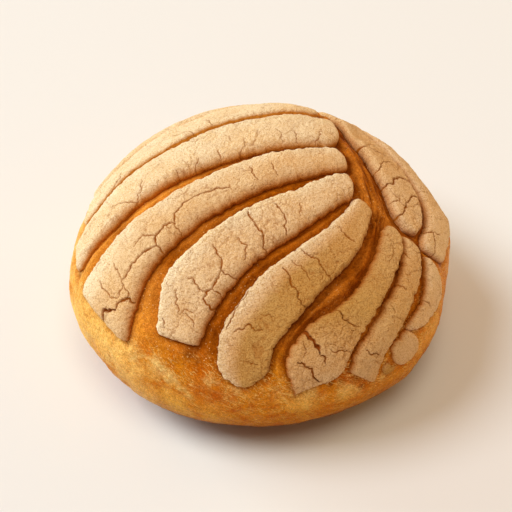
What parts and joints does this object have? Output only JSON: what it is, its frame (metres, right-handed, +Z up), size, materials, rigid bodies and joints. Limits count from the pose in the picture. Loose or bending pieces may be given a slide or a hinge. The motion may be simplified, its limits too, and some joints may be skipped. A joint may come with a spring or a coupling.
{
  "type": "shell-patterned sweet bun",
  "caption": "Round baked sweet bun with a flat underside; curved ribs of crumbly sugar paste fan out over its domed top like a seashell.",
  "frame": {"origin": "the middle of the outline of the bun, on the surface it stands on", "axes": "+Z up through the domed top; +X to the right, on the side of the point from which the ribs fan out; -Y towards the front, where the ribs end above the bare crust"},
  "size_m": [0.106, 0.1038, 0.0574],
  "materials": {
    "crust": "satin",
    "paste": "matte"
  },
  "bodies": {
    "root": {"bun": "crust", "rib_back": "paste", "rib_back_left": "paste", "rib_left": "paste", "rib_front_left": "paste", "rib_front_1": "paste", "rib_front_2": "paste", "rib_front_3": "paste", "rib_front_4": "paste", "rib_right_1": "paste", "rib_right_2": "paste", "rib_right_3": "paste", "rib_right_4": "paste"}
  },
  "joints": []
}
